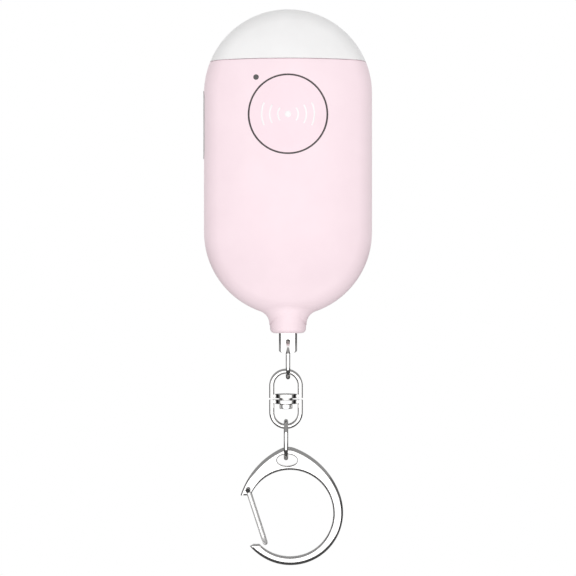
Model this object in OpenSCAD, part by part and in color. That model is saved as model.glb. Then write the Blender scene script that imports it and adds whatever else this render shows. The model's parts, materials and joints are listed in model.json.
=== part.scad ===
// Personal safety alarm on a keyring chain, in millimetres.
// Seen from the front, X points right, Y points back and Z points up.
// The origin is the centre of the flat rear face.

/* [Casing] */
// Width of the capsule
body_w = 38; // [37:0.5:42]
// Height of the capsule
body_h = 69.3; // [69:0.1:76]
// Depth from the front face to the rear face
body_d = 18; // [17.5:0.5:21]
// Radius of the rounded edge
edge_r = 6; // [5:0.25:7]
// Wall thickness of the shells
wall = 1.8; // [1.5:0.1:2]
// Height of the locating lip where the shells meet
lip_h = 1.2; // [0.8:0.1:1.6]
// Thickness of the locating lip
lip_t = 0.7; // [0.5:0.1:0.8]
// Gap left between pieces that are fixed to each other
fit_gap = 0.05; // [0.03:0.01:0.1]

/* [Light dome] */
// Height of the split line above the middle of the casing
split_z = 22.8; // [22.6:0.1:25]
// Depth of the skirt that plugs into the shells
skirt_h = 2.4; // [2:0.1:2.5]
// Thickness of the skirt
skirt_t = 1; // [0.8:0.1:1.4]
// Thickness of the light tray
tray_t = 1; // [0.8:0.1:1.2]

/* [Button] */
// Radius of the button cap
cap_r = 8.55; // [7.5:0.05:8.7]
// Width of the dark ring round the cap
ring_w = 0.4; // [0.35:0.05:0.6]
// Clearance of the cap in its seal
cap_gap = 0.12; // [0.1:0.01:0.15]
// Height of the button's centre above the middle of the casing
button_z = 10.3; // [9.5:0.1:10.5]
// Thickness of the cap
cap_t = 1.6; // [1.4:0.1:1.8]
// Radius of the finger dish
dish_r = 7.5; // [6:0.1:7.8]
// Depth of the finger dish
dish_depth = 0.6; // [0.3:0.05:0.8]
// Travel of the button
button_travel = 0.5; // [0.3:0.05:0.6]

/* [Charging port] */
// Length of the port cover
cover_l = 15.4; // [14:0.1:16]
// Width of the port cover
cover_w = 4.4; // [4.2:0.1:5]
// Height of the port's centre above the middle of the casing
port_z = 8.58; // [8:0.02:8.7]
// How far the port sits behind the middle of the depth
port_set = 0.8; // [0:0.1:1]
// How far the cover stands proud of the casing
cover_proud = 0.15; // [0.1:0.05:0.3]
// Depth of the recess that holds the cover
cover_recess = 0.85; // [0.7:0.05:1]
// Width of the socket
usb_w = 8.94; // [8.8:0.01:9]
// Height of the socket
usb_h = 3.26; // [3.1:0.01:3.3]
// Length of the socket
usb_l = 7.35; // [6.5:0.05:7.4]

/* [Electronics] */
// Thickness of the circuit board
board_t = 1; // [0.8:0.1:1.2]
// Half width of the circuit board
board_half_w = 15.2; // [14.8:0.1:15.4]
// Side of the square key switch
switch_w = 6; // [5:0.1:6.2]
// Height of the key switch
switch_h = 3.5; // [3:0.1:3.6]
// Width of the battery
battery_w = 20; // [16:0.5:20]
// Height of the battery
battery_h = 20; // [16:0.5:20]
// Thickness of the battery
battery_t = 3.4; // [2.8:0.1:3.6]
// Radius of the siren's metal plate
siren_r = 12.3; // [11:0.1:12.4]
// Height of the siren's seat ring
siren_ring_h = 2.8; // [2.4:0.1:3]
// Height of the siren's centre
siren_z = -8; // [-9:0.1:-7]
// Radius of each sound hole
sound_hole_r = 0.6; // [0.4:0.05:0.8]
// Radius of the indicator light pipe
lens_r = 0.565; // [0.45:0.005:0.65]

/* [Fasteners] */
// Radius of the screw shank
screw_r = 1; // [0.9:0.05:1.1]
// Length of the screw shank
screw_l = 10; // [9:0.1:11]
// Radius of the screw head
screw_head_r = 1.9; // [1.7:0.05:2]
// Height of the screw head
screw_head_h = 1.3; // [1:0.1:1.3]

/* [Pull pin] */
// Radius of the collar under the casing
nub_r = 4.2; // [4.1:0.05:4.8]
// How much narrower the collar is at its lower end
nub_taper = 0.15; // [0:0.05:0.2]
// Length of the collar below the capsule
nub_l = 3.85; // [3.4:0.05:5]
// Radius of the pin
pin_r = 2.05; // [1.9:0.05:2.1]
// Running clearance of the pin in its guide
pin_gap = 0.08; // [0.06:0.01:0.1]
// Length of pin that shows below the collar
pin_show = 4.35; // [4.2:0.05:6]
// Thickness across the flats of the pin
pin_flat_t = 2.6; // [2.2:0.1:2.6]
// Height of the cross hole below the collar
pin_eye_drop = 1.9; // [1.8:0.05:2.2]

/* [Chain] */
// Wire diameter of the oval links
link_wire = 1; // [0.8:0.05:1]
// Length of the upper link between wire centres
upper_link_l = 8.1; // [8:0.1:10]
// Length of the lower link between wire centres
lower_link_l = 8.3; // [8:0.1:10]
// Half width of a link to the wire centre
link_half_w = 3; // [2.8:0.1:3.4]
// Gap between the upper link and the swivel that hangs on it
upper_gap = 0.3; // [0.1:0.05:0.4]
// Gap between the swivel and the lower link that hangs on it
lower_gap = 0.1; // [0.1:0.05:0.3]
// Sideways shift of the swivel and the lower link
chain_x = -0.45; // [-0.5:0.05:0.5]
// Wire diameter of the swivel
swivel_wire = 1.15; // [1:0.05:1.3]
// Half width of the swivel to the wire centre
swivel_half_w = 3.22; // [3:0.02:3.6]
// Length of the swivel between wire centres
swivel_l = 12.5; // [12:0.1:14]
// Thickness of each swivel bar
bar_h = 0.9; // [0.7:0.05:1.1]
// Gap between the two swivel bars
bar_gap = 0.4; // [0.3:0.05:0.6]
// Radius of the swivel rivet
rivet_r = 1; // [0.8:0.05:1.1]

/* [Hook] */
// Inside radius of the round opening
hook_in_r = 9.8; // [9:0.02:10.2]
// Mean width of the ring round the opening
hook_rim = 2.09; // [1.8:0.01:2.4]
// Thickness of the hook
hook_t = 2.4; // [2:0.1:2.4]
// Radius of the two arcs that rise to the point
ogive_r = 17.5; // [16:0.1:18]
// Half height of the oval eye
eye_half_h = 1.36; // [1.3:0.02:1.4]
// Half width of the oval eye
eye_half_w = 2.36; // [2:0.02:2.8]
// Drop from the eye's centre to the centre of the opening
eye_drop = 12; // [11.8:0.02:12.6]
// Sideways offset of the opening from the eye
hook_shift = 0.64; // [0:0.02:0.8]
// Wire diameter of the gate
gate_wire = 1; // [0.8:0.05:1]
// Length of the gate from its pivot to its tip
gate_l = 13.15; // [12.8:0.05:13.3]
// Lean of the gate from the vertical, in degrees
gate_lean = 18; // [16:0.5:20]

/* [Hidden] */
$fn = 96;

// Colours
pink = [0.98, 0.87, 0.91];
milky = [0.94, 0.94, 0.94];
steel = [0.78, 0.78, 0.8];
charcoal = [0.3, 0.3, 0.3];
pale_grey = [0.76, 0.76, 0.76];
board_green = [0.16, 0.36, 0.22];
brass = [0.8, 0.66, 0.35];
copper = [0.72, 0.42, 0.25];
black = [0.1, 0.1, 0.11];
white = [0.95, 0.95, 0.93];
silver = [0.85, 0.85, 0.87];
foam = [0.35, 0.35, 0.38];
smoke = [0.2, 0.2, 0.2];

// Casing
end_r = body_w / 2;
end_z = body_h / 2 - end_r;
front_y = -body_d;
mid_y = -body_d / 2;
front_in_y = front_y + wall;
rear_in_y = -wall;
far = 200;
weld = 0.3;
groove_w = 0.2;
groove_d = 0.25;

// The front is a shallow crown that stands a hair proud of the edge rounding it runs into
half_d = body_d / 2;
crown_step = 0.02;
crown_rise = half_d - crown_step;
side_x = end_r - edge_r;
edge_crown_r = (end_r * end_r + crown_rise * crown_rise - 2 * end_r * edge_r) / (2 * (crown_rise - edge_r));
crown_r = edge_crown_r + crown_step;
crown_y = crown_r - half_d;
crown_turn = atan(side_x / crown_y);
wedge_x = side_x + far * sin(crown_turn);
wedge_y = -far * cos(crown_turn);

// Stack of boards and plates between the front and the rear wall
port_y = mid_y + port_set;
board_rear_y = port_y - usb_h / 2;
board_front_y = board_rear_y - board_t;
board_top_z = split_z - skirt_h - 0.5;
board_bottom_z = -17;
tongue_half_w = 9;
tongue_top_z = split_z + 4.2;
tail_half_w = 5;
tail_l = 4.6;
pad_t = 0.3;
battery_top_z = port_z - usb_w / 2 - 0.6;
siren_plate_t = 0.3;
siren_ceramic_t = 0.25;
siren_ceramic_r = siren_r - 3.5;
siren_ring_w = 0.7;
siren_ring_y = rear_in_y - siren_ring_h;
siren_front_y = siren_ring_y - siren_plate_t - siren_ceramic_t;
lead_r = 0.4;
lead_bend = 1;
lead_clear = 0.4;

// Parts on the front of the board, with the room they have under the front wall
front_room = board_front_y - front_in_y;
chip_t = 1;
chip_places = [[-6.5, -3.5], [2.5, -3.5], [9, -4], [0.5, -13.5]];
chip_sizes = [[5, 4], [3, 3], [2.9, 1.6], [2.9, 1.6]];
coil_place = [-5.5, -11];
coil_clear = 2.2;
capacitor_place = [6, -11];
capacitor_base = 5.4;
capacitor_base_t = 0.6;
capacitor_clear = 1.7;
lamp_led_w = 2;
lamp_led_t = 0.8;
lamp_led_pitch = 6;
lamp_led_rise = 1.8;

// Button and its switch
opening_r = cap_r + ring_w;
seal_in_r = cap_r + cap_gap;
seal_drop = 0.3;
seal_t = 0.3;
seal_flange_r = opening_r + 1;
flange_r = seal_flange_r - 0.4;
flange_t = 0.8;
flange_inset = wall + fit_gap + seal_t + 0.1;
flange_fall = crown_r - sqrt(crown_r * crown_r - seal_flange_r * seal_flange_r);
cap_back_y = front_y + flange_inset + flange_fall + flange_t;
cap_wall = 1;
dish_sphere_r = (dish_r * dish_r + dish_depth * dish_depth) / (2 * dish_depth);
post_l = 0.2;
plunger_r = 1.6;
plunger_gap = 0.1;
switch_top_y = board_front_y - switch_h;
plunger_top_y = front_y + cap_t + post_l;
plunger_in = 0.7;
plunger_hole = plunger_in + button_travel + 0.4;

// Indicator light
lens_x = -7.1;
lens_z = button_z + 8.2;
lens_flange_r = lens_r + 0.25;
lens_flange_y = front_in_y + 1.8;
lens_sink = 0.05;
led_t = 0.6;

// Charging port
usb_mouth_x = -end_r + cover_recess + 0.55;
usb_wall = 0.3;
usb_gap = 0.25;
cover_gap = 0.12;
cover_back_gap = 0.1;
cover_corner_r = 2;
pad_rise = 0.3;

// Screws and the posts that take them
screw_seat_y = -2.4;
screw_gap = 0.03;
head_gap = 0.25;
column_r = 3;
boss_r = 2.5;
boss_tip_r = 2;
post_r = 1.5;
upper_screw = [12, 16.5];
lower_screw = [7.5, -25];
board_post = [12, board_bottom_z + 3];
screw_places = [
  for (place = [upper_screw, lower_screw])
    for (side = [-1, 1])
      [side * place[0], place[1]]
];

// Pull pin, its collar and its contacts
capsule_bottom_z = -body_h / 2;
nub_bottom_z = capsule_bottom_z - nub_l;
nub_edge = 1;
nub_tip_r = nub_r - nub_taper;
nub_top_z = -end_z - side_x;
groove_low_z = capsule_bottom_z + 1.6;
guide_wall = 0.92;
guide_in_r = pin_r + pin_gap;
guide_out_r = guide_in_r + guide_wall;
guide_bottom_z = nub_bottom_z + 0.75;
guide_flange_r = guide_out_r + 0.75;
guide_flange_t = 0.7;
guide_seat_z = capsule_bottom_z + wall + 0.55;
guide_seat_r = guide_flange_r + 0.3;
guide_room_r = guide_flange_r + 0.15;
guide_top_z = guide_seat_z + guide_flange_t;
pin_mouth_r = pin_r + 0.25;
pin_seal_t = 0.7;
pin_seal_w = 0.9;
pin_shoulder_z = guide_top_z + pin_seal_t + 0.5;
pin_cone_l = 2;
pin_tip_r = 0.8;
pin_top_z = pin_shoulder_z + pin_cone_l;
pin_bottom_z = nub_bottom_z - pin_show;
pin_flat_z = nub_bottom_z + 0.3;
pin_eye_z = nub_bottom_z - pin_eye_drop;
pin_eye_r = link_wire / 2 + 0.12;
pin_eye_rim_r = pin_eye_r + 0.65;
pin_chamfer = 0.3;
tail_bottom_z = board_bottom_z - tail_l;
switch_base_h = 3.4;
leaf_t = 0.3;
leaf_w = 2.4;
leaf_x = pin_r;
leaf_pivot_r = 0.35;
leaf_pivot_z = tail_bottom_z - leaf_pivot_r - 0.1;
leaf_bottom_z = pin_top_z - 1.4;
contact_z = pin_top_z + 1.4;
contact_r = 0.5;
contact_rise = 0.35;
fixed_x = 0.5;

// Chain, from the pin down to the hook
link_r = link_wire / 2;
swivel_r = swivel_wire / 2;
hang = link_r + swivel_r;
upper_link_bottom_z = pin_eye_z - upper_link_l;
swivel_top_z = upper_link_bottom_z + hang + upper_gap;
swivel_bottom_z = swivel_top_z - swivel_l;
swivel_split_z = (swivel_top_z + swivel_bottom_z) / 2;
lower_link_top_z = swivel_bottom_z + hang + lower_gap;
lower_link_bottom_z = lower_link_top_z - lower_link_l;
bar_half_d = swivel_r * 0.78;
bar_end = swivel_half_w + swivel_r * 0.5;
bar_disc_w = 1.45;
bar_disc_r = rivet_r + bar_disc_w;
rivet_gap = 0.08;
rivet_rise = 0.1;
rivet_head_w = 0.45;
rivet_head_r = rivet_r + rivet_head_w;
rivet_head_h = 0.7;

// Hook
half_t = hook_t / 2;
link_slope = asin(half_t / link_half_w);
link_climb = link_half_w - link_half_w * cos(link_slope) + link_r / cos(link_slope);
eye_gap = 0.12;
eye_z = lower_link_bottom_z + link_climb + eye_gap - eye_half_h;
eye_side = 0.26;
hook_x = chain_x + eye_side + hook_shift;
hook_z = eye_z - eye_drop;
hook_out_r = hook_in_r + hook_rim;
rim_shift = [0.107, 0.17];
right_tangent = 19;
left_tangent = 14;
ogive_k = ogive_r - hook_out_r;
right_centre = -ogive_k * [cos(right_tangent), sin(right_tangent)];
left_centre = ogive_k * [cos(left_tangent), -sin(left_tangent)];
tip_r = 4;
ogive_gap = left_centre - right_centre;
tip_lean = atan2(ogive_gap[1], ogive_gap[0]);
tip_half = acos(norm(ogive_gap) / 2 / (ogive_r - tip_r));
tip_right = tip_lean + tip_half;
tip_left = tip_lean + 180 - tip_half;
tip_centre = right_centre + (ogive_r - tip_r) * [cos(tip_right), sin(tip_right)];
ogive_steps = 24;
tip_steps = 8;
rim_steps = 60;
horn_v = 4.05;
nose_v = -7;
nose_chamfer = 0.55;
gate_r = gate_wire / 2;
gate_gap = 0.08;
gate_side_gap = 0.15;
gate_y = half_t + gate_r + gate_side_gap;
gate_bend = 0.8;
gate_rise = 1.25;
gate_set = 1.24;
gate_v = horn_v + gate_rise;
gate_u = -sqrt(hook_in_r * hook_in_r - gate_v * gate_v) - gate_set;

// Solid box between two opposite corners
module box(low, high) {
  translate(low) cube(high - low);
}

// Cylinder along Y between two depths
module y_rod(r, y0, y1) {
  translate([0, y1, 0]) rotate([90, 0, 0]) cylinder(r = r, h = y1 - y0);
}

// Flat rectangle with round corners, centred
module rounded_rect(w, d, r) {
  square([w - 2 * r, d], center = true);
  square([w, d - 2 * r], center = true);
  for (x = [-1, 1]) {
    for (y = [-1, 1]) {
      translate([x * (w / 2 - r), y * (d / 2 - r)]) circle(r = r);
    }
  }
}

// Flat oval with straight sides, long along the first axis, centred
module stadium(l, h) {
  square([l - h, h], center = true);
  for (x = [-1, 1]) {
    translate([x * (l - h) / 2, 0]) circle(r = h / 2);
  }
}

// Room that the crown takes up in the casing's cross section
module crown_wedge() {
  polygon([[-side_x, 0], [side_x, 0], [wedge_x, wedge_y], [-wedge_x, wedge_y]]);
}

// Cross section of the casing behind and beside the crown, drawn in by an inset
module edge_section(inset) {
  r = edge_r - inset;
  intersection() {
    rounded_rect(body_w - 2 * inset, body_d - 2 * inset, r);
    translate([-far, 0]) square([2 * far, far]);
  }
  for (side = [-1, 1]) {
    intersection() {
      translate([side * side_x, 0]) circle(r = r);
      polygon([[side * side_x, 0], [side * far, 0], [side * far, wedge_y], [side * wedge_x, wedge_y]]);
    }
  }
}

// Half turn of a cross section's right half about the depth axis
module end_turn() {
  rotate_extrude(angle = 180) intersection() {
    children();
    translate([0, -far]) square([far, 2 * far]);
  }
}

// The casing's outer form, drawn in by an inset
module capsule(inset) {
  translate([0, mid_y, 0]) {
    linear_extrude(2 * end_z, center = true) {
      edge_section(inset);
      intersection() {
        translate([0, crown_y]) circle(r = crown_r - inset);
        crown_wedge();
      }
    }
    for (turn = [0, 180]) {
      rotate([0, turn, 0]) translate([0, 0, -end_z]) rotate([-90, 0, 0]) {
        end_turn() edge_section(inset);
        intersection() {
          end_turn() crown_wedge();
          translate([0, 0, crown_y]) rotate([0, 90, 0]) sphere(r = crown_r - inset);
        }
      }
    }
  }
}

// Round collar under the capsule, a little narrower at its lower end
module nub() {
  edge_z = nub_bottom_z + nub_edge;
  translate([0, mid_y, 0]) rotate_extrude() {
    polygon([
      [0, nub_bottom_z],
      [nub_tip_r - nub_edge, nub_bottom_z],
      [nub_tip_r, edge_z],
      [nub_r, capsule_bottom_z],
      [nub_r, nub_top_z],
      [0, nub_top_z]
    ]);
    translate([nub_tip_r - nub_edge, edge_z]) circle(r = nub_edge);
  }
}

// Both shells in one, with the bore for the pin and its guide
module shell_body() {
  difference() {
    union() {
      difference() {
        union() {
          capsule(0);
          nub();
        }
        capsule(wall);
      }
      translate([0, mid_y, capsule_bottom_z + wall / 2]) {
        cylinder(r = guide_seat_r, h = guide_seat_z - capsule_bottom_z - wall / 2);
      }
    }
    translate([0, mid_y, guide_bottom_z]) cylinder(r = guide_out_r + fit_gap, h = nub_l + 5);
    translate([0, mid_y, guide_seat_z]) cylinder(r = guide_room_r, h = nub_top_z - guide_seat_z);
    translate([0, mid_y, nub_bottom_z - 1]) cylinder(r = pin_mouth_r, h = 3);
  }
}

// Shadow lines on the casing: round the seam of the shells and under the light dome
module grooves() {
  difference() {
    union() {
      box([-far, mid_y - groove_w / 2, groove_low_z], [far, mid_y + groove_w / 2, far]);
      box([-far, -far, split_z - groove_w], [far, far, far]);
    }
    capsule(groove_d);
  }
}

// What a half shell keeps: all below the split, between two depths
module half_space(y0, y1) {
  box([-far, y0, -far], [far, y1, split_z - fit_gap]);
}

// Wall band that the lip fills, between two insets
module lip_band(outer, inner, y0, y1) {
  intersection() {
    difference() {
      capsule(outer);
      capsule(inner);
    }
    half_space(y0, y1);
  }
}

// Recess and hole for the charging port
module port_cuts() {
  difference() {
    cover_zone(cover_gap);
    capsule(cover_recess);
  }
  translate([-end_r - 1, port_y, port_z]) rotate([0, 90, 0]) {
    linear_extrude(wall + 4) stadium(usb_w + 2 * usb_gap, usb_h + 2 * usb_gap);
  }
}

// Block as large as the port cover, seen from the left side
module cover_zone(grow) {
  translate([-end_r - 2, port_y, port_z]) rotate([0, 90, 0]) {
    linear_extrude(6) rounded_rect(cover_l + 2 * grow, cover_w + 2 * grow, cover_corner_r);
  }
}

module front_shell() {
  color(pink) difference() {
    union() {
      difference() {
        intersection() {
          shell_body();
          half_space(front_y - 1, mid_y);
        }
        lip_band(wall - lip_t - fit_gap, wall + weld, mid_y - lip_h - fit_gap, mid_y + 1);
      }
      front_posts();
    }
    for (place = screw_places) {
      translate([place[0], 0, place[1]]) {
        y_rod(screw_r + screw_gap, screw_seat_y - screw_l - 0.6, mid_y + 1);
      }
    }
    translate([0, 0, button_z]) y_rod(opening_r, front_y - 1, cap_back_y);
    translate([lens_x, 0, lens_z]) y_rod(lens_r + fit_gap, front_y - 1, cap_back_y);
    port_cuts();
    grooves();
  }
}

// Post inside the front shell, from the board into the crown of the front wall
module front_post(place, r) {
  intersection() {
    translate([place[0], 0, place[1]]) y_rod(r, front_y, board_front_y);
    translate([0, mid_y + crown_y, sign(place[1]) * end_z]) sphere(r = crown_r - wall + weld);
  }
}

// All posts inside the front shell, for the screws and under the board
module front_posts() {
  for (place = screw_places) {
    front_post(place, boss_r);
    translate([place[0], 0, place[1]]) y_rod(boss_tip_r, board_front_y - weld, mid_y);
  }
  for (side = [-1, 1]) {
    front_post([side * board_post[0], board_post[1]], post_r);
  }
}

module rear_shell() {
  color(pink) difference() {
    union() {
      intersection() {
        shell_body();
        half_space(mid_y, 1);
      }
      difference() {
        lip_band(wall - lip_t, wall, mid_y - lip_h, mid_y + weld);
        box([-guide_seat_r - 1, front_y, -far], [guide_seat_r + 1, 1, -end_z]);
      }
      for (place = screw_places) {
        translate([place[0], 0, place[1]]) y_rod(column_r, mid_y + fit_gap, rear_in_y + weld);
      }
    }
    for (place = screw_places) {
      translate([place[0], 0, place[1]]) {
        y_rod(screw_r + screw_gap, mid_y - 1, 1);
        y_rod(screw_head_r + head_gap, screw_seat_y, 1);
      }
    }
    translate([0, 0, siren_z]) {
      y_rod(sound_hole_r, rear_in_y - 1, 1);
      sound_ring(6, 4, 0);
      sound_ring(12, 8, 15);
    }
    port_cuts();
    grooves();
  }
}

// Ring of sound holes round the siren's centre
module sound_ring(count, ring_r, start) {
  for (i = [0 : count - 1]) {
    angle = start + i * 360 / count;
    translate([ring_r * cos(angle), 0, ring_r * sin(angle)]) y_rod(sound_hole_r, rear_in_y - 1, 1);
  }
}

module lamp_dome() {
  skirt_out = wall + fit_gap;
  skirt_in = skirt_out + skirt_t;
  color(milky) {
    intersection() {
      difference() {
        capsule(0);
        capsule(wall);
      }
      box([-far, -far, split_z], [far, far, far]);
    }
    intersection() {
      difference() {
        capsule(wall - weld);
        capsule(skirt_in);
      }
      box([-far, -far, split_z], [far, far, split_z + skirt_t]);
    }
    intersection() {
      difference() {
        capsule(skirt_out);
        capsule(skirt_in);
      }
      box([-far, -far, split_z - skirt_h], [far, far, split_z + weld]);
    }
  }
}

module case_screws() {
  color(steel) for (place = screw_places) {
    translate([place[0], 0, place[1]]) difference() {
      union() {
        y_rod(screw_r, screw_seat_y - screw_l, screw_seat_y + weld);
        y_rod(screw_head_r, screw_seat_y, screw_seat_y + screw_head_h);
      }
      for (turn = [0, 90]) {
        rotate([0, turn, 0]) {
          box([-1.2, screw_seat_y + screw_head_h - 0.8, -0.25], [1.2, 1, 0.25]);
        }
      }
    }
  }
}

// Round disc on the button's axis, cut off behind the casing's form at an inset
module button_disc(r, y1, inset) {
  intersection() {
    translate([0, 0, button_z]) y_rod(r, front_y - 1, y1);
    capsule(inset);
  }
}

module alarm_button() {
  color(pink) {
    difference() {
      union() {
        button_disc(cap_r, cap_back_y, 0);
        button_disc(flange_r, cap_back_y, flange_inset);
      }
      translate([0, 0, button_z]) {
        y_rod(cap_r - cap_wall, front_y + cap_t, cap_back_y + 1);
        translate([0, front_y - dish_sphere_r + dish_depth, 0]) {
          sphere(r = dish_sphere_r, $fn = 200);
        }
      }
    }
    translate([0, 0, button_z]) y_rod(plunger_r, front_y + cap_t - weld, plunger_top_y);
  }
}

module button_seal() {
  color(charcoal) difference() {
    union() {
      button_disc(opening_r - fit_gap, cap_back_y, seal_drop);
      button_disc(seal_flange_r, cap_back_y, wall + fit_gap);
    }
    capsule(wall + fit_gap + seal_t);
    translate([0, 0, button_z]) y_rod(seal_in_r, front_y - 1, mid_y);
  }
}

module switch_plunger() {
  color(black) translate([0, 0, button_z]) {
    y_rod(plunger_r, plunger_top_y, switch_top_y + plunger_in);
  }
}

module circuit_board() {
  color(board_green) difference() {
    union() {
      box([-board_half_w, board_front_y, board_bottom_z], [board_half_w, board_rear_y, board_top_z]);
      box([-tongue_half_w, board_front_y, board_top_z - 1], [tongue_half_w, board_rear_y, tongue_top_z]);
      box([-tail_half_w, board_front_y, tail_bottom_z], [tail_half_w, board_rear_y, board_bottom_z + 1]);
    }
    for (side = [-1, 1]) {
      translate([side * upper_screw[0], 0, upper_screw[1]]) {
        y_rod(boss_tip_r + 0.2, board_front_y - 1, board_rear_y + 1);
      }
    }
  }
}

module button_switch() {
  half = switch_w / 2;
  color(silver) translate([0, 0, button_z]) difference() {
    box([-half, switch_top_y, -half], [half, board_front_y, half]);
    y_rod(plunger_r + plunger_gap, switch_top_y - 1, switch_top_y + plunger_hole);
  }
}

// Flat electronic part on the front of the board
module chip(place, size, t) {
  low = place - size / 2;
  high = place + size / 2;
  box([low[0], board_front_y - t, low[1]], [high[0], board_front_y, high[1]]);
}

module control_chips() {
  color(black) for (i = [0 : len(chip_places) - 1]) {
    chip(chip_places[i], chip_sizes[i], chip_t);
  }
}

module boost_coil() {
  drum_r = 3;
  core_r = 1.9;
  drum_h = front_room - coil_clear;
  rim = 0.6;
  color(copper) translate([coil_place[0], 0, coil_place[1]]) {
    y_rod(drum_r, board_front_y - rim, board_front_y);
    y_rod(core_r, board_front_y - drum_h, board_front_y - rim + 0.1);
    y_rod(drum_r, board_front_y - drum_h, board_front_y - drum_h + rim);
  }
}

module storage_capacitor() {
  can_r = capacitor_base / 2 - 0.15;
  can_h = front_room - capacitor_clear;
  color(silver) {
    chip(capacitor_place, [capacitor_base, capacitor_base], capacitor_base_t);
    translate([capacitor_place[0], 0, capacitor_place[1]]) {
      y_rod(can_r, board_front_y - can_h, board_front_y - capacitor_base_t + 0.1);
    }
  }
}

module usb_socket() {
  color(silver) translate([usb_mouth_x, port_y, port_z]) rotate([0, 90, 0]) difference() {
    linear_extrude(usb_l) stadium(usb_w, usb_h);
    translate([0, 0, -1]) linear_extrude(usb_l) {
      stadium(usb_w - 2 * usb_wall, usb_h - 2 * usb_wall);
    }
  }
}

module usb_tongue() {
  color(black) translate([usb_mouth_x + 0.6, port_y, port_z]) {
    box([0, -0.35, -3.3], [usb_l - 1.6, 0.35, 3.3]);
  }
}

module port_cover() {
  pad_x = -end_r + cover_recess - cover_back_gap;
  color(pale_grey) {
    difference() {
      intersection() {
        capsule(-cover_proud);
        cover_zone(0);
      }
      capsule(cover_recess - cover_back_gap);
    }
    translate([pad_x - weld, port_y, port_z]) rotate([0, 90, 0]) {
      linear_extrude(weld + cover_back_gap + pad_rise) stadium(usb_w - 1, usb_h - 1);
    }
  }
}

module lamp_leds() {
  half = lamp_led_w / 2;
  led_z = split_z + lamp_led_rise;
  color(white) for (i = [-1, 0, 1]) {
    translate([i * lamp_led_pitch, 0, led_z]) {
      box([-half, board_front_y - lamp_led_t, -half], [half, board_front_y, half]);
      box([-half, board_rear_y, -half], [half, board_rear_y + lamp_led_t, half]);
    }
  }
}

module lamp_tray() {
  tray_z = split_z - skirt_h + 0.4;
  slot = 0.15;
  color(white) difference() {
    intersection() {
      capsule(wall + skirt_t + 3 * fit_gap);
      box([-far, -far, tray_z], [far, far, tray_z + tray_t]);
    }
    box([-tongue_half_w - slot, board_front_y - slot, -far], [tongue_half_w + slot, board_rear_y + slot, far]);
  }
}

module indicator_lens() {
  color(smoke) {
    intersection() {
      translate([lens_x, 0, lens_z]) y_rod(lens_r, front_y, board_front_y - led_t - fit_gap);
      capsule(lens_sink);
    }
    intersection() {
      translate([lens_x, 0, lens_z]) y_rod(lens_flange_r, front_y, lens_flange_y);
      capsule(wall + fit_gap);
    }
  }
}

module indicator_led() {
  color(white) chip([lens_x, lens_z], [0.8, 1.6], led_t);
}

module battery() {
  battery_y = board_rear_y + pad_t;
  color(silver) box(
    [-battery_w / 2, battery_y, battery_top_z - battery_h],
    [battery_w / 2, battery_y + battery_t, battery_top_z]
  );
}

module battery_pad() {
  color(foam) box(
    [-battery_w / 2 + 2, board_rear_y, battery_top_z - battery_h + 2],
    [battery_w / 2 - 2, board_rear_y + pad_t, battery_top_z - 2]
  );
}

module battery_leads() {
  lead_y = board_rear_y + pad_t + battery_t / 2;
  rise = 0.8;
  color(copper) for (x = [1, 4]) {
    translate([x, lead_y, battery_top_z]) {
      cylinder(r = lead_r, h = rise);
      translate([0, -lead_bend, rise]) rotate([90, 0, 90]) {
        rotate_extrude(angle = 90) translate([lead_bend, 0]) circle(r = lead_r);
      }
    }
    translate([x, 0, battery_top_z + rise + lead_bend]) y_rod(lead_r, board_rear_y, lead_y - lead_bend);
  }
}

module siren_ring() {
  color(charcoal) translate([0, 0, siren_z]) difference() {
    y_rod(siren_r + siren_ring_w, siren_ring_y, rear_in_y);
    y_rod(siren_r - siren_ring_w, siren_ring_y - 1, rear_in_y + 1);
  }
}

module siren_plate() {
  color(brass) translate([0, 0, siren_z]) {
    y_rod(siren_r, siren_ring_y - siren_plate_t, siren_ring_y);
  }
}

module siren_ceramic() {
  color(white) translate([0, 0, siren_z]) {
    y_rod(siren_ceramic_r, siren_front_y, siren_ring_y - siren_plate_t);
  }
}

module siren_leads() {
  lead_x = battery_w / 2 + lead_r + lead_clear;
  color(copper) for (side = [-1, 1]) {
    translate([side * lead_x, 0, siren_z]) {
      y_rod(lead_r, board_rear_y, siren_ring_y - siren_plate_t);
    }
  }
}

module pull_pin() {
  flat = pin_flat_t / 2;
  color(steel) translate([0, mid_y, 0]) difference() {
    union() {
      translate([0, 0, pin_flat_z]) cylinder(r = pin_r, h = pin_shoulder_z - pin_flat_z);
      translate([0, 0, pin_shoulder_z]) cylinder(r1 = pin_r, r2 = pin_tip_r, h = pin_cone_l);
      intersection() {
        union() {
          translate([0, 0, pin_bottom_z + pin_chamfer]) {
            cylinder(r = pin_r, h = pin_flat_z - pin_bottom_z);
          }
          translate([0, 0, pin_bottom_z]) {
            cylinder(r1 = pin_r - pin_chamfer, r2 = pin_r, h = pin_chamfer);
          }
        }
        box([-far, -flat, -far], [far, flat, pin_flat_z + weld]);
      }
    }
    for (turn = [0, 180]) {
      translate([0, 0, pin_eye_z]) rotate([90, 0, turn]) {
        cylinder(r1 = pin_eye_r, r2 = pin_eye_rim_r, h = flat);
      }
    }
  }
}

module pin_guide() {
  color(brass) translate([0, mid_y, 0]) difference() {
    union() {
      translate([0, 0, guide_bottom_z]) cylinder(r = guide_out_r, h = guide_top_z - guide_bottom_z);
      translate([0, 0, guide_seat_z]) cylinder(r = guide_flange_r, h = guide_flange_t);
    }
    translate([0, 0, guide_bottom_z - 1]) {
      cylinder(r = guide_in_r, h = guide_top_z - guide_bottom_z + 2);
    }
  }
}

module pin_seal() {
  seal_r = guide_in_r + 0.05;
  color(charcoal) translate([0, mid_y, guide_top_z]) difference() {
    cylinder(r = seal_r + pin_seal_w, h = pin_seal_t);
    translate([0, 0, -1]) cylinder(r = seal_r, h = pin_seal_t + 2);
  }
}

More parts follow.
